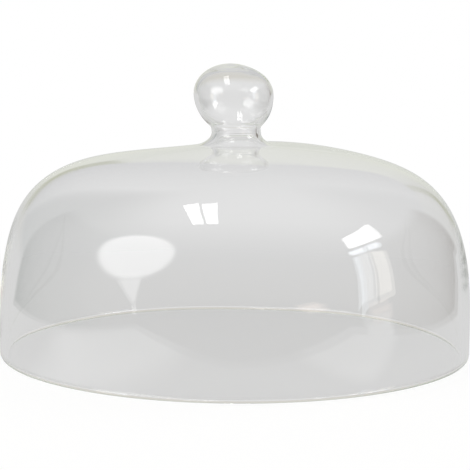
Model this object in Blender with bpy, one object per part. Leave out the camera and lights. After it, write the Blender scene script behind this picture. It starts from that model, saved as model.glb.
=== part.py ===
"""Glass cloche: a wide, low dome of clear blown glass with a hollow ball knob.

The cloche is two pieces of glass. The dome is blown open, its rim is polished in the
flame, and its crown is drawn up into a short open collar. The knob is a hollow ball with
a short neck, welded edge to edge onto that collar, so the ball's hollow opens into the
dome. Nothing moves. The origin is the middle of the rim's resting plane, +Z is up, and
every length is in metres. Both pieces are turned about Z from an outline (radius, height).
"""
import math

import bpy
import numpy as np

# The dome's outside
RIM_RADIUS = 0.150            # outer radius at the rim
WALL_HEIGHT = 0.0075          # straight wall above the resting plane
SHOULDER_HEIGHT = 0.1198      # from the top of the straight wall to the crown's level
CROWN_RISE = 0.0092           # how much the crown domes up towards the middle
SQUARENESS_ACROSS = 4.6       # exponent of the shoulder's rounding, across; 2 is an ellipse
SQUARENESS_UP = 3.36          # exponent of the shoulder's rounding, upwards

# The neck, shared by the dome's collar and the knob
NECK_RADIUS = 0.0157          # outer radius at the weld
COLLAR_REACH = 0.010          # how far the collar's foot spreads onto the crown
COLLAR_HEIGHT = 0.0079        # from the collar's foot up to the weld
WELD_GAP = 0.0003             # clearance between the two welded edges

# The ball knob
NECK_LENGTH = 0.0019          # straight neck above the weld
NECK_FILLET = 0.0037          # radius of the hollow curve between neck and ball
BALL_RADIUS = 0.0252          # the ball's half width, and the radius of its lower half
BALL_TOP_HEIGHT = 0.0204      # from the ball's widest level up to its flattened top

# The glass
RIM_WALL = 0.0048             # thickness at the rim
NECK_WALL = 0.0030            # thickness at the weld, the same on both pieces
BALL_WALL = 0.0022            # thickness half way down the ball
BALL_TOP_WALL = 0.0042        # thickness at the top of the ball, where the glass gathers
RIM_ROUNDING = 0.0017         # radius of the rim's two polished corners

# How finely the outlines are turned and divided
DOME_STEPS = 72
KNOB_STEPS = 40
SHOULDER_POINTS = 21
COLLAR_POINTS = 5
CORNER_POINTS = 4
BALL_POINTS = 15
FINE_POINTS = 400
MERGE_DISTANCE = 0.00001

GLASS_TINT = (0.90, 0.93, 0.91, 1.0)
GLASS_ROUGHNESS = 0.02
GLASS_IOR = 1.47


def even_points(outline, count):
    """Return count points along an outline, evenly spaced by length."""
    steps = np.linalg.norm(np.diff(outline, axis=0), axis=1)
    length = np.concatenate([[0.0], np.cumsum(steps)])
    places = np.linspace(0.0, length[-1], count)
    return np.stack([np.interp(places, length, outline[:, axis]) for axis in (0, 1)], axis=1)


def arc(centre, across, up, start, end, count):
    """Return count points of an ellipse about centre, from one angle to another."""
    angles = np.linspace(start, end, count)
    return np.stack([centre[0] + across * np.cos(angles), centre[1] + up * np.sin(angles)], axis=1)


def inner_side(outline, first_wall, middle_wall, last_wall):
    """Offset an outline to its left, by a wall with given values at its two ends and middle.

    Between them the thickness is the parabola through the three values.
    """
    along = np.gradient(outline, axis=0)
    along /= np.linalg.norm(along, axis=1)[:, None]
    left = np.stack([along[:, 1], -along[:, 0]], axis=1)
    steps = np.linalg.norm(np.diff(outline, axis=0), axis=1)
    share = np.concatenate([[0.0], np.cumsum(steps)]) / steps.sum()
    wall = (first_wall * (1.0 - share) * (1.0 - 2.0 * share)
            + middle_wall * 4.0 * share * (1.0 - share)
            + last_wall * share * (2.0 * share - 1.0))
    return outline + left * wall[:, None]


def crown_height(radius):
    """Height of the dome's outer surface at a radius.

    A superellipse, (r / R)^across + (z / H)^up = 1, on top of the straight wall, and a
    crown that rises with the square of the distance in from the rim.
    """
    share = radius / RIM_RADIUS
    shoulder = SHOULDER_HEIGHT * (1.0 - share ** SQUARENESS_ACROSS) ** (1.0 / SQUARENESS_UP)
    return WALL_HEIGHT + shoulder + CROWN_RISE * (1.0 - share) ** 2


def collar_foot():
    """Radius and height where the collar's foot leaves the crown."""
    radius = NECK_RADIUS + COLLAR_REACH
    return radius, crown_height(radius)


def weld_height():
    """Height of the dome's half of the weld."""
    return collar_foot()[1] + COLLAR_HEIGHT


def collar_outline():
    """From the weld down to the crown: a curve with one control point.

    The control point is where the crown's slope meets the line of the neck, so the curve
    leaves the neck upright and runs into the crown without a crease.
    """
    foot_radius, foot_height = collar_foot()
    small = 0.0001
    slope = (crown_height(foot_radius + small) - foot_height) / small
    corner = np.array([NECK_RADIUS, foot_height - slope * COLLAR_REACH])
    top = np.array([NECK_RADIUS, weld_height()])
    foot = np.array([foot_radius, foot_height])
    share = np.linspace(0.0, 1.0, COLLAR_POINTS)[:, None]
    return (1 - share) ** 2 * top + 2 * share * (1 - share) * corner + share ** 2 * foot


def shoulder_outline():
    """From the collar's foot over the crown and shoulder, down to the rim's corner."""
    foot_share = collar_foot()[0] / RIM_RADIUS
    start = math.acos(foot_share ** (SQUARENESS_ACROSS / 2.0))
    turn = np.linspace(start, 0.0, FINE_POINTS)
    radius = RIM_RADIUS * np.cos(turn) ** (2.0 / SQUARENESS_ACROSS)
    outline = np.stack([radius, crown_height(radius)], axis=1)
    wall_foot = np.array([[RIM_RADIUS, RIM_ROUNDING]])
    return even_points(np.concatenate([outline, wall_foot]), SHOULDER_POINTS)


def dome_profile():
    """The closed outline of the dome's glass: down outside, round the rim, up inside."""
    outside = np.concatenate([collar_outline()[:-1], shoulder_outline()])
    inside = inner_side(outside, NECK_WALL, (NECK_WALL + RIM_WALL) / 2.0, RIM_WALL)
    inside[0] = (NECK_RADIUS - NECK_WALL, weld_height())
    outer_corner = arc((RIM_RADIUS - RIM_ROUNDING, RIM_ROUNDING), RIM_ROUNDING, RIM_ROUNDING,
                       0.0, -math.pi / 2, CORNER_POINTS)
    inner_corner = arc((RIM_RADIUS - RIM_WALL + RIM_ROUNDING, RIM_ROUNDING), RIM_ROUNDING,
                       RIM_ROUNDING, -math.pi / 2, -math.pi, CORNER_POINTS)
    return np.concatenate([outside, outer_corner[1:], inner_corner, inside[::-1][1:]])


def knob_outline():
    """The knob's outside, from the ball's top down to the weld, with the weld at height 0."""
    neck_reach = NECK_RADIUS + NECK_FILLET
    ball_rise = math.sqrt((BALL_RADIUS + NECK_FILLET) ** 2 - neck_reach ** 2)
    ball_height = NECK_LENGTH + ball_rise
    tangent = math.atan2(ball_rise, neck_reach)
    top = arc((0.0, ball_height), BALL_RADIUS, BALL_TOP_HEIGHT, math.pi / 2, 0.0, FINE_POINTS)
    below = arc((0.0, ball_height), BALL_RADIUS, BALL_RADIUS, 0.0, -tangent, FINE_POINTS)
    ball = even_points(np.concatenate([top, below[1:]]), BALL_POINTS)
    fillet = arc((neck_reach, NECK_LENGTH), NECK_FILLET, NECK_FILLET,
                 math.pi - tangent, math.pi, CORNER_POINTS)
    return np.concatenate([ball, fillet[1:], [[NECK_RADIUS, 0.0]]])


def knob_profile():
    """The open outline of the knob's glass: from the axis down outside, up inside."""
    outside = knob_outline()
    inside = inner_side(outside, BALL_TOP_WALL, BALL_WALL, NECK_WALL)
    inside[0, 0] = 0.0
    inside[-1] = (NECK_RADIUS - NECK_WALL, 0.0)
    return np.concatenate([outside, inside[::-1]])


def glass(name):
    """A clear, slightly green glass."""
    material = bpy.data.materials.new(name)
    material.use_nodes = True
    surface = material.node_tree.nodes["Principled BSDF"]
    surface.inputs["Base Color"].default_value = GLASS_TINT
    surface.inputs["Roughness"].default_value = GLASS_ROUGHNESS
    surface.inputs["Metallic"].default_value = 0.0
    surface.inputs["IOR"].default_value = GLASS_IOR
    surface.inputs["Transmission Weight"].default_value = 1.0
    return material


def turned(name, profile, closed, steps, material):
    """Turn an outline (radius, height) about Z into one solid with a Screw modifier."""
    count = len(profile)
    points = [(radius, 0.0, height) for radius, height in profile.tolist()]
    edges = [(index, index + 1) for index in range(count - 1)]
    if closed:
        edges.append((count - 1, 0))
    mesh = bpy.data.meshes.new(name)
    mesh.from_pydata(points, edges, [])
    mesh.materials.append(material)
    piece = bpy.data.objects.new(name, mesh)
    bpy.context.collection.objects.link(piece)
    screw = piece.modifiers.new("turn", "SCREW")
    screw.axis = "Z"
    screw.angle = 2.0 * math.pi
    screw.steps = steps
    screw.render_steps = steps
    screw.use_merge_vertices = True
    screw.merge_threshold = MERGE_DISTANCE
    screw.use_smooth_shade = True
    return piece


def build_cloche():
    """Make both pieces and hang them on one empty at the middle of the rim."""
    for item in list(bpy.data.objects):
        bpy.data.objects.remove(item, do_unlink=True)
    cloche = bpy.data.objects.new("cloche", None)
    bpy.context.collection.objects.link(cloche)
    dome = turned("dome_shell", dome_profile(), True, DOME_STEPS, glass("dome_glass"))
    dome.parent = cloche
    knob = turned("ball_knob", knob_profile(), False, KNOB_STEPS, glass("knob_glass"))
    knob.parent = cloche
    knob.location = (0.0, 0.0, weld_height() + WELD_GAP)


build_cloche()
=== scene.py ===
"""The finished look of the glass cloche: a hand-blown dome and its hollow ball knob.

Both pieces are clear glass turned about Z from an outline (radius, height), then made
slightly uneven, as glass blown by hand is. The studio round them is a pale floor, a room
that shades from floor to ceiling, and the lights whose reflections glass lives from: a
pair of roof panes, a tall window on the right and a studio umbrella on the left.
Lengths are in metres, +Z is up, and the rim rests on height 0.
"""
import math

import bpy
import numpy as np
from mathutils import Matrix, Vector


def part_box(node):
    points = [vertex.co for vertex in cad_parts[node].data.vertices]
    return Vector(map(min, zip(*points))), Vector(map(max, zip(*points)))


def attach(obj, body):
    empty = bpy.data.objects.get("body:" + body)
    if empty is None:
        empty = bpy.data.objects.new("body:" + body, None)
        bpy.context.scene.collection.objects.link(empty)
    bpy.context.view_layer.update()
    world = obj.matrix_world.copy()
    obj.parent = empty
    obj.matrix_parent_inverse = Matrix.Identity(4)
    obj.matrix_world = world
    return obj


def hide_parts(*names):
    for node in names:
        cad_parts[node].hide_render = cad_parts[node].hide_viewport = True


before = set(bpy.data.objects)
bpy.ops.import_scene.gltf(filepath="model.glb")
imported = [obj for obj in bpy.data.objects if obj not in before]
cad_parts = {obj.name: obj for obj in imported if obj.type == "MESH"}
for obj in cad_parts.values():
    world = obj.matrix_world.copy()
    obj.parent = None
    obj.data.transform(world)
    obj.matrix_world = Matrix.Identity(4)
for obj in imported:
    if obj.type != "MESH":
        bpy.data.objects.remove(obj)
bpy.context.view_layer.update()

# ---------------------------------------------------------------- sizes of the glass

_, dome_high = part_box("dome_shell")
knob_low, knob_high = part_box("ball_knob")

RIM_RADIUS = dome_high.x
WALL_HEIGHT = 0.0075          # straight wall above the rim
SHOULDER_HEIGHT = 0.1198      # from the straight wall to the crown's level
CROWN_RISE = 0.0092           # how much the crown domes up towards the middle
SQUARENESS_ACROSS = 4.6       # the shoulder's rounding, across; 2 is an ellipse
SQUARENESS_UP = 3.36          # the shoulder's rounding, upwards
RIM_WALL = 0.0048
NECK_WALL = 0.0030
BALL_WALL = 0.0022
BALL_TOP_WALL = 0.0042        # the glass gathers at the top of the ball
RIM_ROUNDING = 0.0021         # the flame-polished rim: how far its rounding goes in,
RIM_RISE = 0.0036             # and how far it goes up

WELD_HEIGHT = dome_high.z
NECK_RADIUS = 0.0157
COLLAR_REACH = 0.0105         # from the neck out to where the collar's foot has eased in
COLLAR_SKIRT = 0.0045         # how far it follows the crown in from there
COLLAR_NECK = 0.0042          # how far it follows the neck down from the weld
WELD_SEAM = 0.00006           # the hairline between the two melted edges

KNOB_FOOT = WELD_HEIGHT + WELD_SEAM
NECK_LENGTH = 0.0019
NECK_FILLET = 0.0037
BALL_RADIUS = knob_high.x
BALL_TOP_HEIGHT = 0.0204

# ---------------------------------------------------------------- sizes of the unevenness

OUT_OF_ROUND = 0.00025        # slow swelling and shrinking round the dome
WALL_WAVE = 0.00012           # waviness of the inner surface against the outer one
CHEEK = 0.0009                # the -X side is this much flatter,
CHEEK_HEIGHT = 0.072          # most of all at this height,
CHEEK_SPREAD = 0.028          # and this far above and below it
FULL_SIDE = 0.0013            # the +X side is this much fuller by the rim,
FULL_SIDE_TURN = -0.15        # most of all in this direction, in radians,
FULL_SIDE_SPREAD = 0.5        # and this far round from there
FULL_SIDE_TOP = 0.11          # the fullness starts here,
FULL_SIDE_FOOT = 0.03         # and is whole from here down
CROWN_WARP = 0.0037           # the back of the crown: higher at +X, lower at -X,
WARP_TURNOVER = 0.025         # changing over this far either side of the middle,
WARP_REACH = 0.088            # and fading out this far to each side
WARP_FRONT = -0.01            # it starts here along Y,
WARP_BACK = 0.07              # and is whole from here back
UPPER_FOOT = 0.05             # what bends only the crown starts at this height,
UPPER_TOP = 0.11              # and is whole from here up
NECK_SHIFT = 0.0008           # the neck stands this far towards +X,
NECK_SPREAD = 0.020           # and draws the crown with it this far round
NECK_CALM = 0.010             # the crown's warp fades out this close to the neck
KNOB_LEAN = 0.090             # the ball leans back from the neck's shift, as a slope

BALL_SWELLING = 0.0011
SWELLING_WAY = (0.93, -0.10, 0.35)
SWELLING_SPREAD = 0.09
BALL_CREASE = 0.0011
CREASE_LEAN = 0.80            # angle from the vertical to the crease's middle, towards +X,
CREASE_LENGTH = 0.24          # and how far it runs from there
CREASE_FORWARD = 0.10         # how far forward of the ball's middle it runs, as a share,
CREASE_WIDTH = 0.06
BALL_MIDDLE_LIFT = 0.002      # from the middle of the knob's height to the ball's middle

# ---------------------------------------------------------------- how finely things are divided

DOME_TURNS = 288
KNOB_TURNS = 160
SHOULDER_POINTS = 100
COLLAR_POINTS = 40
RIM_POINTS = 14
BALL_POINTS = 64
FILLET_POINTS = 10
FINE_SHOULDER_POINTS = 4000   # before the points are spread evenly
FINE_BALL_POINTS = 400
SHARP_CORNER = 50.0           # a corner of more degrees than this isn't shaded round


def even_points(outline, count):
    """count points along an outline, evenly spaced by length."""
    steps = np.linalg.norm(np.diff(outline, axis=0), axis=1)
    length = np.concatenate([[0.0], np.cumsum(steps)])
    places = np.linspace(0.0, length[-1], count)
    return np.stack([np.interp(places, length, outline[:, axis]) for axis in (0, 1)], axis=1)


def arc(centre, across, up, start, end, count):
    """Points (cx + a cos t, cz + b sin t) of an ellipse, for t from start to end."""
    angles = np.linspace(start, end, count)
    return np.stack([centre[0] + across * np.cos(angles), centre[1] + up * np.sin(angles)], axis=1)


def inner_side(outline, first, middle, last):
    """The outline moved sideways by a wall that varies with its length.

    w(s) = w0 (1-s)(1-2s) + w1 4s(1-s) + w2 s(2s-1), the parabola through three thicknesses,
    for s from 0 to 1 along the outline.
    """
    along = np.gradient(outline, axis=0)
    along /= np.linalg.norm(along, axis=1)[:, None]
    left = np.stack([along[:, 1], -along[:, 0]], axis=1)
    steps = np.linalg.norm(np.diff(outline, axis=0), axis=1)
    share = np.concatenate([[0.0], np.cumsum(steps)]) / steps.sum()
    wall = (first * (1.0 - share) * (1.0 - 2.0 * share)
            + middle * 4.0 * share * (1.0 - share)
            + last * share * (2.0 * share - 1.0))
    return outline + left * wall[:, None]


def crown_height(radius):
    """z = h0 + H (1 - (r/R)^a)^(1/b) + C (1 - r/R)^2, a superellipse with a crown on it."""
    share = radius / RIM_RADIUS
    fullness = np.maximum(1.0 - share ** SQUARENESS_ACROSS, 0.0)
    shoulder = SHOULDER_HEIGHT * fullness ** (1.0 / SQUARENESS_UP)
    return WALL_HEIGHT + shoulder + CROWN_RISE * (1.0 - share) ** 2


def collar_outline(count):
    """From the weld down onto the crown, by a curve with four control points.

    B(t) = (1-t)^3 top + 3t(1-t)^2 neck + 3t^2(1-t) skirt + t^3 foot: upright at the weld,
    and along the crown's slope at the foot, where it eases in without an edge.
    """
    foot_radius = NECK_RADIUS + COLLAR_REACH
    foot = np.array([foot_radius, crown_height(foot_radius)])
    small = 0.0001
    slope = (crown_height(foot_radius + small) - foot[1]) / small
    skirt = foot - COLLAR_SKIRT * np.array([1.0, slope])
    top = np.array([NECK_RADIUS, WELD_HEIGHT])
    neck = top - np.array([0.0, COLLAR_NECK])
    t = np.linspace(0.0, 1.0, count)[:, None]
    return ((1 - t) ** 3 * top + 3 * t * (1 - t) ** 2 * neck
            + 3 * t ** 2 * (1 - t) * skirt + t ** 3 * foot)


def dome_profile():
    """The closed outline of the dome's wall: down outside, round the rim, up inside."""
    foot_share = (NECK_RADIUS + COLLAR_REACH) / RIM_RADIUS
    start = math.acos(foot_share ** (SQUARENESS_ACROSS / 2.0))
    turn = np.linspace(start, 0.0, FINE_SHOULDER_POINTS)
    radius = RIM_RADIUS * np.cos(turn) ** (2.0 / SQUARENESS_ACROSS)
    shoulder = np.stack([radius, crown_height(radius)], axis=1)
    wall_foot = np.array([[RIM_RADIUS, RIM_RISE]])
    shoulder = even_points(np.concatenate([shoulder, wall_foot]), SHOULDER_POINTS)
    outside = np.concatenate([collar_outline(COLLAR_POINTS)[:-1], shoulder])
    inside = inner_side(outside, NECK_WALL, (NECK_WALL + RIM_WALL) / 2.0, RIM_WALL)
    outer_corner = arc((RIM_RADIUS - RIM_ROUNDING, RIM_RISE), RIM_ROUNDING, RIM_RISE,
                       0.0, -math.pi / 2, RIM_POINTS)
    inner_corner = arc((RIM_RADIUS - RIM_WALL + RIM_ROUNDING, RIM_RISE), RIM_ROUNDING,
                       RIM_RISE, -math.pi / 2, -math.pi, RIM_POINTS)
    inside[0] = (NECK_RADIUS - NECK_WALL, WELD_HEIGHT)
    return np.concatenate([outside, outer_corner[1:], inner_corner, inside[::-1][1:]])


def knob_profile():
    """The open outline of the knob's wall: from the axis down outside, up inside to the axis."""
    neck_reach = NECK_RADIUS + NECK_FILLET
    ball_rise = math.sqrt((BALL_RADIUS + NECK_FILLET) ** 2 - neck_reach ** 2)
    ball_height = KNOB_FOOT + NECK_LENGTH + ball_rise
    tangent = math.atan2(ball_rise, neck_reach)
    top = arc((0.0, ball_height), BALL_RADIUS, BALL_TOP_HEIGHT, math.pi / 2, 0.0,
              FINE_BALL_POINTS)
    below = arc((0.0, ball_height), BALL_RADIUS, BALL_RADIUS, 0.0, -tangent, FINE_BALL_POINTS)
    ball = even_points(np.concatenate([top, below[1:]]), BALL_POINTS)
    fillet = arc((neck_reach, KNOB_FOOT + NECK_LENGTH), NECK_FILLET, NECK_FILLET,
                 math.pi - tangent, math.pi, FILLET_POINTS)
    outside = np.concatenate([ball, fillet[1:], [[NECK_RADIUS, KNOB_FOOT]]])
    inside = inner_side(outside, BALL_TOP_WALL, BALL_WALL, NECK_WALL)
    inside[0, 0] = 0.0
    inside[-1] = (NECK_RADIUS - NECK_WALL, KNOB_FOOT)
    return np.concatenate([outside, inside[::-1]])


def turned(profile, turns):
    """Points (r cos a, r sin a, z) of an outline turned about Z, as an array ring by ring."""
    angle = np.arange(turns) * (2.0 * math.pi / turns)
    radius, height = profile[:, :1], profile[:, 1:]
    return np.stack([radius * np.cos(angle), radius * np.sin(angle),
                     height + 0.0 * angle], axis=2)


def eased(value, low, high):
    """Smooth step: t = (v - low) / (high - low) held to 0..1, then t t (3 - 2t)."""
    t = np.clip((value - low) / (high - low), 0.0, 1.0)
    return t * t * (3.0 - 2.0 * t)


def blown(points, inner):
    """Move the points of turned glass as hand-blowing would.

    Radius: r' = r + e s (cos(2a + 0.7) + 0.6 cos(3a - 1.1)), slightly out of round with
            s = r / R, less a flat cheek on the -X side, c exp(-((z - h) / d)^2) cos^2 a, plus
            a fuller +X side, f exp(-((a - t) / q)^2), that fades from the rim upwards.
    Wall:   the inner surface waves against the outer one by w sin(3a + 22z + 1) cos(5a - 60z).
    Crown:  z' = z + k (u - 0.2 u^2) exp(-(x / l)^4), u = tanh(x / m), over the back half,
            fading to nothing at the neck so that the weld stays flat.
    Neck:   x' = x + n exp(-((r - neck) / p)^2), so the collar stands off the axis.
    """
    x, y, z = points[..., 0], points[..., 1], points[..., 2]
    angle = np.arctan2(y, x)
    radius = np.hypot(x, y)
    share = radius / RIM_RADIUS
    swelling = OUT_OF_ROUND * (np.cos(2 * angle + 0.7) + 0.6 * np.cos(3 * angle - 1.1)) * share
    cheek = (CHEEK * np.exp(-((z - CHEEK_HEIGHT) / CHEEK_SPREAD) ** 2)
             * np.maximum(-np.cos(angle), 0.0) ** 2)
    full = (FULL_SIDE * np.exp(-((angle - FULL_SIDE_TURN) / FULL_SIDE_SPREAD) ** 2)
            * eased(z, FULL_SIDE_TOP, FULL_SIDE_FOOT))
    wave = WALL_WAVE * np.sin(3 * angle + 22 * z + 1.0) * np.cos(5 * angle - 60 * z) * inner
    grown = 1.0 + (swelling - cheek + full + wave * share) / radius
    upper = eased(z, UPPER_FOOT, UPPER_TOP)
    off_neck = np.maximum(radius - NECK_RADIUS, 0.0)
    across = np.tanh(x / WARP_TURNOVER)
    warp = CROWN_WARP * (across - 0.2 * across ** 2) * np.exp(-(x / WARP_REACH) ** 4)
    warp = warp * eased(y, WARP_FRONT, WARP_BACK) * (1.0 - np.exp(-(off_neck / NECK_CALM) ** 2))
    shift = NECK_SHIFT * np.exp(-(off_neck / NECK_SPREAD) ** 2) * upper
    return np.stack([x * grown + shift, y * grown, z + warp * upper], axis=-1)


def swollen(points, centre):
    """The ball's bulge and the crease above it, by directions from the ball's centre.

    Bulge:  A exp(-(1 - cos g) / s), g being the angle off the bulge's direction.
    Crease: -D exp(-((v - v0) / l)^2) exp(-((dy + f) / w)^2), a groove that runs over the
            shoulder, v being the angle from the vertical towards +X, and dy the direction's
            part along Y.
    """
    arm = points - centre
    reach = np.linalg.norm(arm, axis=-1, keepdims=True)
    direction = arm / np.maximum(reach, 1e-9)
    near_bulge = direction @ (np.array(SWELLING_WAY) / np.linalg.norm(SWELLING_WAY))
    bulge = BALL_SWELLING * np.exp(-(1.0 - near_bulge) / SWELLING_SPREAD)
    lean = np.arctan2(direction[..., 0], direction[..., 2])
    crease = (BALL_CREASE * np.exp(-((lean - CREASE_LEAN) / CREASE_LENGTH) ** 2)
              * np.exp(-((direction[..., 1] + CREASE_FORWARD) / CREASE_WIDTH) ** 2))
    return points + direction * (bulge - crease)[..., None]


def leant(points):
    """x' = x + n - k (z - weld), so that the knob leans back over its shifted neck."""
    moved = points.copy()
    moved[..., 0] += NECK_SHIFT - KNOB_LEAN * (points[..., 2] - WELD_HEIGHT)
    return moved


def ring_faces(rings, turns, closed):
    """Quads between neighbouring rings, (i, j) (i, j+1) (i+1, j+1) (i+1, j), turned outwards.

    If closed, the last ring joins the first.
    """
    row = np.arange(rings if closed else rings - 1)[:, None]
    column = np.arange(turns)[None, :]
    below, beside = (row + 1) % rings, (column + 1) % turns
    corners = [row * turns + column, row * turns + beside,
               below * turns + beside, below * turns + column]
    return np.stack([c + 0 * column for c in corners], axis=2).reshape(-1, 4)[:, ::-1]


def glass_piece(name, points, faces, material):
    """An object at the origin from points, quads and triangles, shaded smooth.

    The flat ring where the two pieces are welded is marked as melted: the faces whose
    middle lies within a hair of the weld's height.
    """
    mesh = bpy.data.meshes.new(name)
    mesh.from_pydata(points.reshape(-1, 3).tolist(), [], faces)
    mesh.shade_smooth()
    mesh.materials.append(material)
    mesh.validate()
    mesh.set_sharp_from_angle(angle=math.radians(SHARP_CORNER))
    middles = np.zeros(len(mesh.polygons) * 3)
    mesh.polygons.foreach_get("center", middles)
    middles = middles.reshape(-1, 3)
    at_weld = np.abs(middles[:, 2] - WELD_HEIGHT) < 2.0 * WELD_SEAM
    melted = mesh.attributes.new("melted", "FLOAT", "FACE")
    melted.data.foreach_set("value", at_weld.astype(float))
    piece = bpy.data.objects.new(name, mesh)
    bpy.context.scene.collection.objects.link(piece)
    return piece


def make_dome(material):
    """The dome: a closed outline turned once, so its wall is one closed body."""
    profile = dome_profile()
    rings = len(profile)
    inner = (np.arange(rings) > rings / 2).astype(float)[:, None]
    points = blown(turned(profile, DOME_TURNS), inner)
    return glass_piece("blown_dome", points, ring_faces(rings, DOME_TURNS, True).tolist(), material)


def make_knob(material):
    """The knob: an outline from axis to axis; each end closes on one point with a fan."""
    profile = knob_profile()
    rings = len(profile)
    points = turned(profile, KNOB_TURNS)
    middle = np.array([0.0, 0.0, (knob_high.z + knob_low.z) / 2 + BALL_MIDDLE_LIFT])
    points = leant(swollen(points, middle))
    body = points[1:-1].reshape(-1, 3)
    top, hollow = points[0, 0], points[-1, 0]
    faces = ring_faces(rings - 2, KNOB_TURNS, False).tolist()
    column = np.arange(KNOB_TURNS)
    beside = (column + 1) % KNOB_TURNS
    last = (rings - 3) * KNOB_TURNS
    faces += np.stack([0 * column + len(body), column, beside], axis=1).tolist()
    faces += np.stack([0 * column + len(body) + 1, last + beside, last + column], axis=1).tolist()
    return glass_piece("blown_knob", np.vstack([body, top, hollow]), faces, material)


# ---------------------------------------------------------------- nodes

def new_material(name):
    """An empty material with its output node."""
    material = bpy.data.materials.new(name)
    material.use_nodes = True
    material.node_tree.nodes.clear()
    output = material.node_tree.nodes.new("ShaderNodeOutputMaterial")
    return material, material.node_tree, output


def feed(tree, socket, value):
    """Link a socket to another node's output, or set its number or colour."""
    if isinstance(value, bpy.types.NodeSocket):
        tree.links.new(value, socket)
    else:
        socket.default_value = value


def figure(tree, operation, first, second=0.0):
    """The sum, product or other figure of two numbers."""
    node = tree.nodes.new("ShaderNodeMath")
    node.operation = operation
    feed(tree, node.inputs[0], first)
    feed(tree, node.inputs[1], second)
    return node.outputs[0]


def rise(tree, value, low, high, bottom=0.0, top=1.0):
    """A smooth step from bottom, where value is low, to top, where it is high."""
    node = tree.nodes.new("ShaderNodeMapRange")
    node.interpolation_type = "SMOOTHSTEP"
    feed(tree, node.inputs["Value"], value)
    for name, number in (("From Min", low), ("From Max", high), ("To Min", bottom), ("To Max", top)):
        feed(tree, node.inputs[name], number)
    return node.outputs["Result"]


def tint(tree, share, first, second):
    """Colour first (1 - share) + colour second share."""
    node = tree.nodes.new("ShaderNodeMix")
    node.data_type = "RGBA"
    feed(tree, node.inputs["Factor"], share)
    colours = [socket for socket in node.inputs if socket.type == "RGBA"]
    feed(tree, colours[0], first)
    feed(tree, colours[1], second)
    return [socket for socket in node.outputs if socket.type == "RGBA"][0]


def shades(tree, value, stops):
    """A colour ramp through (place, colour) pairs."""
    node = tree.nodes.new("ShaderNodeValToRGB")
    feed(tree, node.inputs["Fac"], value)
    elements = node.color_ramp.elements
    elements[0].position, elements[0].color = stops[0]
    elements[1].position, elements[1].color = stops[-1]
    for place, colour in stops[1:-1]:
        elements.new(place).color = colour
    return node.outputs["Color"]


def either(tree, share, first, second):
    """Shader first (1 - share) + shader second share."""
    node = tree.nodes.new("ShaderNodeMixShader")
    feed(tree, node.inputs["Fac"], share)
    tree.links.new(first, node.inputs[1])
    tree.links.new(second, node.inputs[2])
    return node.outputs["Shader"]


def glow(tree, colour, strength=1.0, kind="ShaderNodeEmission"):
    """Light of one colour."""
    node = tree.nodes.new(kind)
    feed(tree, node.inputs["Color"], colour)
    feed(tree, node.inputs["Strength"], strength)
    return node.outputs[0]


def axes(tree, output):
    """X, Y and Z of the texture coordinate with the given name."""
    place = tree.nodes.new("ShaderNodeTexCoord")
    parts = tree.nodes.new("ShaderNodeSeparateXYZ")
    tree.links.new(place.outputs[output], parts.inputs["Vector"])
    return parts.outputs["X"], parts.outputs["Y"], parts.outputs["Z"]


def grey(level, red=0.0, blue=0.0):
    """A grey of one level, a little redder or bluer."""
    return (level + red, level, level + blue, 1.0)


# ---------------------------------------------------------------- glass

GLASS_IOR = 1.47
GLASS_ABSORPTION = (0.76, 0.84, 0.68, 1.0)
GLASS_ABSORPTION_DENSITY = 1.2
GLASS_SHADOW = (0.90, 0.91, 0.90, 1.0)
HAZE_SCALE = 16.0             # patches where the surface is a little dull
HAZE_DETAIL = 4.0
HAZE_ROUGHNESS = 0.030
RIPPLE_SCALE = 18.0           # slow ripples that the flame left
RIPPLE_DETAIL = 1.0
RIPPLE_STRENGTH = 0.2
RIPPLE_HEIGHT = 0.0004


def clear_glass(name):
    """Clear soda glass with a faint green body, and a surface that the flame left slightly wavy.

    Shadow light passes with a slight loss, and the melted ring at the weld isn't seen.
    """
    material, tree, output = new_material(name)
    nodes, links = tree.nodes, tree.links
    surface = nodes.new("ShaderNodeBsdfPrincipled")
    surface.inputs["Base Color"].default_value = (1.0, 1.0, 1.0, 1.0)
    surface.inputs["IOR"].default_value = GLASS_IOR
    surface.inputs["Transmission Weight"].default_value = 1.0
    place = nodes.new("ShaderNodeTexCoord")

    haze = nodes.new("ShaderNodeTexNoise")
    haze.inputs["Scale"].default_value = HAZE_SCALE
    haze.inputs["Detail"].default_value = HAZE_DETAIL
    links.new(place.outputs["Object"], haze.inputs["Vector"])
    links.new(rise(tree, haze.outputs["Fac"], 0.45, 0.75, 0.0, HAZE_ROUGHNESS),
              surface.inputs["Roughness"])

    ripple = nodes.new("ShaderNodeTexNoise")
    ripple.inputs["Scale"].default_value = RIPPLE_SCALE
    ripple.inputs["Detail"].default_value = RIPPLE_DETAIL
    bump = nodes.new("ShaderNodeBump")
    bump.inputs["Strength"].default_value = RIPPLE_STRENGTH
    bump.inputs["Distance"].default_value = RIPPLE_HEIGHT
    links.new(place.outputs["Object"], ripple.inputs["Vector"])
    links.new(ripple.outputs["Fac"], bump.inputs["Height"])
    links.new(bump.outputs["Normal"], surface.inputs["Normal"])

    open_to_light = nodes.new("ShaderNodeBsdfTransparent")
    open_to_light.inputs["Color"].default_value = GLASS_SHADOW
    path = nodes.new("ShaderNodeLightPath")
    lit = either(tree, path.outputs["Is Shadow Ray"], surface.outputs["BSDF"],
                 open_to_light.outputs["BSDF"])
    weld = nodes.new("ShaderNodeAttribute")
    weld.attribute_name = "melted"
    fused = nodes.new("ShaderNodeBsdfTransparent")
    links.new(either(tree, weld.outputs["Fac"], lit, fused.outputs["BSDF"]),
              output.inputs["Surface"])

    body = nodes.new("ShaderNodeVolumeAbsorption")
    body.inputs["Color"].default_value = GLASS_ABSORPTION
    body.inputs["Density"].default_value = GLASS_ABSORPTION_DENSITY
    links.new(body.outputs["Volume"], output.inputs["Volume"])
    return material


# ---------------------------------------------------------------- lights that the glass reflects

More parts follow.
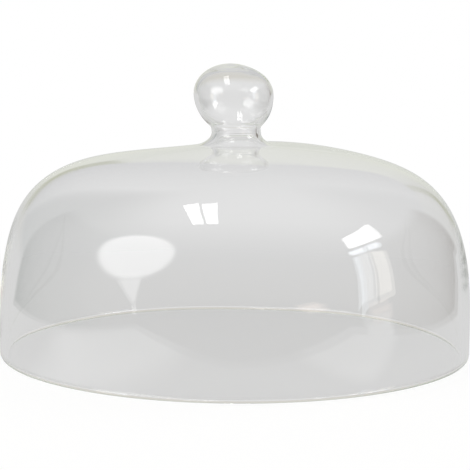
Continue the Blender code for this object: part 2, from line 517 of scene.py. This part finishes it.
WHITE = (1.0, 1.0, 1.0, 1.0)
BLUISH = (0.88, 0.94, 1.0, 1.0)
WARM = (1.0, 0.95, 0.86, 1.0)
PINKISH = (0.86, 0.70, 0.62, 1.0)

ROOM_REACH = 2.13             # how far the window, shelf and umbrella are from the cloche
ROOF_HEIGHT = 2.06
ROOF_SLOPE = 0.18             # how fast the roof rises towards the back
CARD_STEPS = 25
UMBRELLA_TURNS = 96


def patch(low_left, low_right, high_right, high_left):
    """A four-cornered patch in any two measures, and how far each point is from its edge.

    P(u, v) = (1-u)(1-v) A + u (1-v) B + u v C + (1-u) v D; the distance from the edge is the
    least of 2u, 2(1-u), 2v and 2(1-v), so it is 1 in the middle.
    """
    share = np.linspace(0.0, 1.0, CARD_STEPS)
    u, v = (grid[..., None] for grid in np.meshgrid(share, share))
    corners = [np.array(corner, dtype=float)
               for corner in (low_left, low_right, high_right, high_left)]
    places = ((1 - u) * (1 - v) * corners[0] + u * (1 - v) * corners[1]
              + u * v * corners[2] + (1 - u) * v * corners[3])
    inward = 2.0 * np.minimum(np.minimum(u, 1 - u), np.minimum(v, 1 - v))
    return places, inward[..., 0]


def disc(centre, half_width, half_height, lift):
    """An oval in any two measures, leaning by lift, ring by ring from its edge to its middle.

    P(s, t) = centre + s (W cos t, H sin t + L cos t), and the distance from the edge is 1 - s.
    """
    angle = np.linspace(0.0, 2.0 * math.pi, UMBRELLA_TURNS)
    share = np.linspace(1.0, 0.0, CARD_STEPS)[:, None]
    across = centre[0] + share * half_width * np.cos(angle)
    up = centre[1] + share * (half_height * np.sin(angle) + lift * np.cos(angle))
    return np.stack([across, up], axis=2), np.broadcast_to(1.0 - share, across.shape)


def in_room(places):
    """Compass angle a and height angle e, in degrees, to (R cos e sin a, -R cos e cos a, R sin e)."""
    turn, climb = np.radians(places[..., 0]), np.radians(places[..., 1])
    return ROOM_REACH * np.stack([np.cos(climb) * np.sin(turn), -np.cos(climb) * np.cos(turn),
                                  np.sin(climb)], axis=-1)


def in_roof(places):
    """Metres (x, y) to (x, y, H + k y), on the sloping roof."""
    return np.stack([places[..., 0], places[..., 1],
                     ROOF_HEIGHT + ROOF_SLOPE * places[..., 1]], axis=-1)


def light_card(name, points, inward, colour, strength, soft=0.0):
    """A thin light that only reflections and the glass see.

    Its edge fades out over the share soft of the way in to its middle.
    """
    rows, columns = points.shape[:2]
    row = np.arange(rows - 1)[:, None] * columns
    column = np.arange(columns - 1)[None, :]
    start = (row + column).reshape(-1)
    faces = np.stack([start, start + 1, start + columns + 1, start + columns], axis=1)
    mesh = bpy.data.meshes.new(name)
    mesh.from_pydata(points.reshape(-1, 3).tolist(), [], faces.tolist())
    strong = mesh.attributes.new("strong", "FLOAT", "POINT")
    shares = eased(inward, 0.0, soft) if soft else np.ones(inward.shape)
    strong.data.foreach_set("value", shares.reshape(-1))
    card = bpy.data.objects.new(name, mesh)
    bpy.context.scene.collection.objects.link(card)
    material, tree, output = new_material(name)
    shown = tree.nodes.new("ShaderNodeAttribute")
    shown.attribute_name = "strong"
    clear = tree.nodes.new("ShaderNodeBsdfTransparent")
    light = glow(tree, colour, strength)
    tree.links.new(either(tree, shown.outputs["Fac"], clear.outputs["BSDF"], light),
                   output.inputs["Surface"])
    mesh.materials.append(material)
    card.visible_camera = False
    card.visible_diffuse = False
    card.visible_shadow = False


def room_card(name, corners, colour, strength, soft=0.0):
    """A four-cornered light in the room; each corner is a compass and a height angle."""
    places, inward = patch(*corners)
    light_card(name, in_room(places), inward, colour, strength, soft)


def make_window():
    """The tall window on the right: a top light, a bluish row, and three panes beside bars."""
    room_card("window_top", [(61, 29), (85, 30.5), (87, 42), (61.5, 37.5)], WHITE, 6.5)
    room_card("window_row_left", [(60, 24), (69.5, 24.5), (70, 27.8), (59.5, 26.7)], BLUISH, 4.8)
    room_card("window_row_right", [(71, 24.6), (80, 25), (80.5, 28.4), (71.5, 28.2)], BLUISH, 4.4)
    room_card("window_side", [(60, -3), (63.4, -0.3), (63.8, 23), (60.6, 22.5)], BLUISH, 3.1)
    room_card("window_left", [(63.5, -0.3), (68.6, 0.5), (70.3, 23.7), (63.9, 23.1)], WHITE, 2.1)
    room_card("window_right", [(70, 0.5), (79.3, 2), (80.4, 22), (71.7, 23.7)], WARM, 2.4)
    # the sill and the wall below are no lamps: they glow as stand-ins for their lit surfaces
    room_card("window_sill", [(65, -6), (78.5, -4), (77.7, 0.3), (64.4, -0.8)], PINKISH, 1.5, soft=0.3)
    room_card("window_wall", [(62, -12), (79, -12), (79, -4), (62, -4)], WHITE, 1.3, soft=0.25)


def make_shelf():
    """Small glowing stand-ins for lit pale things low in the room, in front of the dome to the right
    and left.
    """
    room_card("shelf_edge", [(34, 0), (46, 0.8), (38, 3.5), (25, 2.7)], PINKISH, 3.0, soft=0.35)
    room_card("stand_knob", [(-46.2, -0.9), (-45.2, -0.7), (-46.4, 1.8), (-47.4, 1.6)], WHITE, 4.0)


def make_skylight():
    """Two panes side by side in the roof, a little narrower in front than at the back."""
    front = -0.94
    for name, left, right in (("roof_pane_left", -0.55, -0.37), ("roof_pane_right", -0.34, -0.17)):
        places, inward = patch((left - 0.03, front), (right - 0.045, front),
                               (right, 0.07), (left, 0.0))
        light_card(name, in_roof(places), inward, WHITE, 6.5)


def make_umbrella():
    """A white umbrella on the left, and below it the narrowing end of its cloth."""
    places, inward = disc((-51.2, 26.5), 22.6, 16.5, 3.0)
    light_card("umbrella", in_room(places), inward, WHITE, 3.4, soft=0.18)
    room_card("umbrella_tail", [(-47.5, 2), (-46, 2), (-44, 13), (-57.5, 10.5)], WHITE, 2.2, soft=0.15)


# ---------------------------------------------------------------- floor and room

FLOOR_HEIGHT = -0.0004        # a hair below the rim, so that the two never share a plane
FLOOR_REACH = 60.0
FLOOR_PAINT = (0.8, 0.8, 0.79, 1.0)
BOARD_MIDDLE = 0.06           # the board's painted shade is darkest this far behind the dome's middle
# grey levels of the board's painted shade, by distance from a point behind the dome's middle
BOARD_LEVELS = ((0.0, 0.615), (0.08, 0.62), (0.14, 0.64), (0.19, 0.645), (0.26, 0.66),
                (0.35, 0.68), (0.45, 0.71), (0.57, 0.745), (0.70, 0.775), (0.95, 0.785))
LEFT_PAINTED_SHADE = 0.15              # how much painted shade darkens the board far back on the left
RIGHT_PAINTED_SHADE = 0.08             # and on the right
BOARD_LEFT = 0.36             # from the dome's middle to the board's edges
BOARD_RIGHT = 0.31
BOARD_FRONT = 0.25
BOARD_BLUR = 0.01
BOARD_SHEEN = 0.68            # the board's brightness where the glass mirrors it,
LEFT_PAINTED_SHEEN = 0.75             # how much painted sheen is added in front on the left,
RIGHT_PAINTED_SHEEN = 0.60            # and the painted reflection of the window added in front on the right

BACKDROP = (0.74, 0.75, 0.69, 1.0)
BACKDROP_SIDES = (0.63, 0.63, 0.61, 1.0)
BACKDROP_SHADOW = (0.42, 0.43, 0.32, 1.0)
BACKDROP_TOP = 0.385          # the backdrop's top edge, as the upward part of a direction
LEFT_ROOM = (0.12, 0.15, 0.135, 1.0)
RIGHT_ROOM = (0.18, 0.155, 0.13, 1.0)
FRONT_ROOM = (0.34, 0.335, 0.33, 1.0)
UNDER_TABLE = (0.55, 0.55, 0.52, 1.0)
CEILING_LEFT = (0.42, 0.45, 0.44, 1.0)
CEILING_RIGHT = (0.60, 0.60, 0.61, 1.0)
BEIGE = (0.66, 0.64, 0.59, 1.0)
PALE_BELOW = 0.60             # the surroundings straight through the glass: below,
PALE_HORIZON = 0.79           # at the horizon,
PALE_ABOVE = 0.78             # and a little above it


def past(tree, value, edge, blur):
    """A smooth step from 0 to 1, from one blur before the edge to one blur past it."""
    return rise(tree, value, edge - blur, edge + blur)


def product(tree, first, *others):
    """All the numbers multiplied together."""
    for other in others:
        first = figure(tree, "MULTIPLY", first, other)
    return first


def total(tree, first, *others):
    """All the numbers added together."""
    for other in others:
        first = figure(tree, "ADD", first, other)
    return first


def reflected(tree):
    """1 for a ray that the glass has mirrored at least once, 0 for one that came straight."""
    path = tree.nodes.new("ShaderNodeLightPath")
    return figure(tree, "MINIMUM", path.outputs["Glossy Depth"], 1.0)


def painted_board_shade(tree, x, y):
    """The board's brightness through the glass, in painted shade: darkest under the dome, paler with
    distance.

    The distance r = sqrt(x^2 + y^2) is taken from a point a little behind the dome's middle.
    Painted shade holds the board down far back on the left and right, until a few metres away.
    """
    y = figure(tree, "SUBTRACT", y, BOARD_MIDDLE)
    distance = figure(tree, "SQRT", total(tree, product(tree, x, x), product(tree, y, y)))
    shade = shades(tree, distance, [(place, grey(level)) for place, level in BOARD_LEVELS])
    farness = product(tree, rise(tree, y, 0.10, 0.80), rise(tree, y, 3.0, 1.2))
    left_painted_shade = product(tree, rise(tree, x, -0.06, -0.22), farness, LEFT_PAINTED_SHADE)
    right_painted_shade = product(tree, rise(tree, x, 0.08, 0.24), farness, RIGHT_PAINTED_SHADE)
    dimming = figure(tree, "SUBTRACT", figure(tree, "SUBTRACT", 1.0, left_painted_shade), right_painted_shade)
    return distance, shade, dimming


def board_mask(tree, x, y):
    """1 on the board and 0 past its edges.

    Its sides close in towards the back by 1.2 and 0.9 of the distance, and its front edge
    comes forward by 0.45 and 0.10 of the distance to the left and right.
    """
    behind_left = figure(tree, "MAXIMUM", figure(tree, "SUBTRACT", y, 0.15))
    behind_right = figure(tree, "MAXIMUM", figure(tree, "SUBTRACT", y, 0.10))
    left_edge = total(tree, x, product(tree, behind_left, 1.2))
    right_edge = figure(tree, "SUBTRACT", product(tree, behind_right, 0.9), x)
    forward = figure(tree, "MAXIMUM", product(tree, x, -0.45), product(tree, x, 0.10))
    front_edge = total(tree, y, forward)
    return product(tree, past(tree, left_edge, -BOARD_LEFT, BOARD_BLUR),
                   past(tree, right_edge, -BOARD_RIGHT, BOARD_BLUR),
                   past(tree, front_edge, -BOARD_FRONT, BOARD_BLUR))


def painted_board_sheen(tree, x, y):
    """How bright the board is where the glass mirrors it, with a painted sheen in front on the left
    and a painted reflection of the window in front on the right.
    """
    left = product(tree, rise(tree, x, -0.05, -0.13), rise(tree, x, -0.36, -0.27),
                   rise(tree, y, -0.06, -0.13))
    right = product(tree, rise(tree, x, 0.09, 0.13), rise(tree, y, -0.13, -0.15))
    return total(tree, BOARD_SHEEN, product(tree, left, LEFT_PAINTED_SHEEN),
                 product(tree, right, RIGHT_PAINTED_SHEEN))


def make_floor():
    """A pale floor: white where it is seen directly, through the glass a pale grey board in painted
    shade.

    It keeps the cloche's faint shadow. What the glass mirrors is a board of finite width with a
    painted sheen, and past its edges the room shows.
    """
    corners = [(-1, -1), (1, -1), (1, 1), (-1, 1)]
    mesh = bpy.data.meshes.new("floor")
    mesh.from_pydata([(px * FLOOR_REACH, py * FLOOR_REACH, FLOOR_HEIGHT) for px, py in corners],
                     [], [(0, 1, 2, 3)])
    floor = bpy.data.objects.new("floor", mesh)
    bpy.context.scene.collection.objects.link(floor)
    material, tree, output = new_material("pale_floor")
    x, y, _ = axes(tree, "Object")
    paint = tree.nodes.new("ShaderNodeBsdfDiffuse")
    paint.inputs["Color"].default_value = FLOOR_PAINT
    paint = paint.outputs["BSDF"]

    # through the glass the board glows in painted shade, darkest under the dome
    distance, board, dimming = painted_board_shade(tree, x, y)
    contact = rise(tree, distance, 0.16, 0.40, 0.08, 0.0)
    seen_through = either(tree, contact, glow(tree, board, dimming), paint)
    shadow = rise(tree, distance, 0.15, 0.55, 0.10, 0.0)
    seen_directly = either(tree, shadow, glow(tree, WHITE), paint)
    gone = tree.nodes.new("ShaderNodeBsdfTransparent")
    # in reflections the board glows, with a painted sheen in front on both sides
    mirrored = either(tree, board_mask(tree, x, y), gone.outputs["BSDF"],
                      glow(tree, WHITE, painted_board_sheen(tree, x, y)))

    path = tree.nodes.new("ShaderNodeLightPath")
    in_glass = either(tree, reflected(tree), seen_through, mirrored)
    tree.links.new(either(tree, path.outputs["Is Camera Ray"], in_glass, seen_directly),
                   output.inputs["Surface"])
    mesh.materials.append(material)


def backdrop_shade(tree, x, z, ceiling):
    """The backdrop: greyer to the sides, a dark piece and a dark line, the ceiling on top.

    Its top edge is where z + 0.5 max(-x, 0) is BACKDROP_TOP, so it comes down on the left.
    """
    sideways = figure(tree, "ABSOLUTE", x)
    shade = tint(tree, rise(tree, sideways, 0.20, 0.45), BACKDROP, BACKDROP_SIDES)
    leftward = figure(tree, "MAXIMUM", figure(tree, "SUBTRACT", 0.0, x))
    height = total(tree, z, product(tree, leftward, 0.5))
    dark_piece = product(tree, rise(tree, x, -0.50, -0.44), rise(tree, x, -0.12, -0.15),
                         rise(tree, height, 0.28, 0.32))
    shade = tint(tree, product(tree, dark_piece, 0.8), shade, BACKDROP_SHADOW)
    dark_line = product(tree, rise(tree, x, 0.36, 0.39), rise(tree, x, 0.46, 0.43))
    shade = tint(tree, product(tree, dark_line, 0.7), shade, BACKDROP_SHADOW)
    return tint(tree, past(tree, height, BACKDROP_TOP, 0.015), shade, ceiling)


def room_shade(tree):
    """What the glass mirrors, by direction: a backdrop behind, a dim room, and a ceiling."""
    x, y, z = axes(tree, "Generated")
    spread_left = total(tree, product(tree, z, 1.3), 1.2)
    spread_right = total(tree, product(tree, z, 0.9), 0.75)
    left = total(tree, x, product(tree, y, spread_left))
    right = figure(tree, "SUBTRACT", product(tree, y, spread_right), x)
    behind = product(tree, past(tree, left, 0.0, 0.05), past(tree, right, 0.0, 0.05))
    ceiling = tint(tree, rise(tree, x, -0.85, -0.35), CEILING_LEFT, CEILING_RIGHT)
    sides = tint(tree, past(tree, x, 0.0, 0.5), LEFT_ROOM, RIGHT_ROOM)
    ceiling_line = total(tree, z, product(tree, x, 0.07))
    sides = tint(tree, rise(tree, ceiling_line, 0.44, 0.58), sides, ceiling)
    front = tint(tree, rise(tree, z, 0.0, 0.95), FRONT_ROOM, ceiling)
    sides = tint(tree, rise(tree, y, 0.0, -0.55), sides, front)
    around = tint(tree, behind, sides, backdrop_shade(tree, x, z, ceiling))
    return tint(tree, rise(tree, z, -0.40, -0.60), around, UNDER_TABLE)


def make_room():
    """The world: white to the camera, pale straight through the glass, a room in its reflections."""
    world = bpy.data.worlds.new("room")
    bpy.context.scene.world = world
    world.use_nodes = True
    tree = world.node_tree
    tree.nodes.clear()
    output = tree.nodes.new("ShaderNodeOutputWorld")
    _, _, z = axes(tree, "Generated")
    pale = shades(tree, rise(tree, z, -1.0, 1.0),
                  [(0.0, grey(PALE_BELOW)), (0.5, grey(PALE_HORIZON)), (0.56, grey(PALE_ABOVE)),
                   (0.66, BEIGE), (1.0, BEIGE)])
    lit = "ShaderNodeBackground"
    in_glass = either(tree, reflected(tree), glow(tree, pale, kind=lit),
                      glow(tree, room_shade(tree), kind=lit))
    path = tree.nodes.new("ShaderNodeLightPath")
    tree.links.new(either(tree, path.outputs["Is Camera Ray"], in_glass, glow(tree, WHITE, kind=lit)),
                   output.inputs["Surface"])


# ---------------------------------------------------------------- lamps and camera

LAMP_SIZE = 1.2
LAMP_TARGET = Vector((0.0, 0.0, 0.08))
CAMERA_DISTANCE = 1.05
CAMERA_ELEVATION = 11.604     # how high it stands over the rim's middle, in degrees,
CAMERA_TIP = 7.516            # how far it is tipped down
CAMERA_ROLL = 0.45            # and how far askew it is held
CAMERA_SHIFT = 0.0005         # to the right of the middle
LENS = 123.5                  # in millimetres, on a sensor 36 mm wide
SENSOR = 36.0
LIGHT_BOUNCES = 400           # light in the glass's wall is mirrored hundreds of times


def soft_light(name, location, power):
    """A square soft lamp that points at the cloche and isn't seen in the glass."""
    data = bpy.data.lights.new(name, "AREA")
    data.size = LAMP_SIZE
    data.energy = power
    lamp = bpy.data.objects.new(name, data)
    bpy.context.scene.collection.objects.link(lamp)
    lamp.location = location
    towards = LAMP_TARGET - Vector(location)
    lamp.rotation_euler = towards.to_track_quat("-Z", "Y").to_euler()
    lamp.visible_glossy = False
    lamp.visible_transmission = False


def make_camera():
    """A long lens a metre away, just above the knob's height, tipped down and a little askew."""
    data = bpy.data.cameras.new("camera")
    data.sensor_width = SENSOR
    data.lens = LENS
    camera = bpy.data.objects.new("camera", data)
    elevation = math.radians(CAMERA_ELEVATION)
    camera.location = (CAMERA_SHIFT, -CAMERA_DISTANCE * math.cos(elevation),
                       CAMERA_DISTANCE * math.sin(elevation))
    turned_up = Matrix.Rotation(math.pi / 2 - math.radians(CAMERA_TIP), 3, "X")
    askew = Matrix.Rotation(math.radians(CAMERA_ROLL), 3, "Z")
    camera.rotation_euler = (turned_up @ askew).to_euler()
    bpy.context.scene.collection.objects.link(camera)
    bpy.context.scene.camera = camera


# ---------------------------------------------------------------- the whole

make_camera()
dome = make_dome(clear_glass("dome_glass"))
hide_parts("dome_shell")
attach(dome, "root")
knob = make_knob(clear_glass("knob_glass"))
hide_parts("ball_knob")
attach(knob, "root")

make_floor()
make_room()
make_window()
make_shelf()
make_skylight()
make_umbrella()
soft_light("high_left", (-1.2, -0.8, 1.8), 25.0)
soft_light("high_right", (1.4, 0.6, 1.6), 15.0)
scene = bpy.context.scene
scene.cycles.max_bounces = LIGHT_BOUNCES
scene.cycles.glossy_bounces = LIGHT_BOUNCES
scene.cycles.transmission_bounces = LIGHT_BOUNCES
scene.view_settings.view_transform = "Standard"
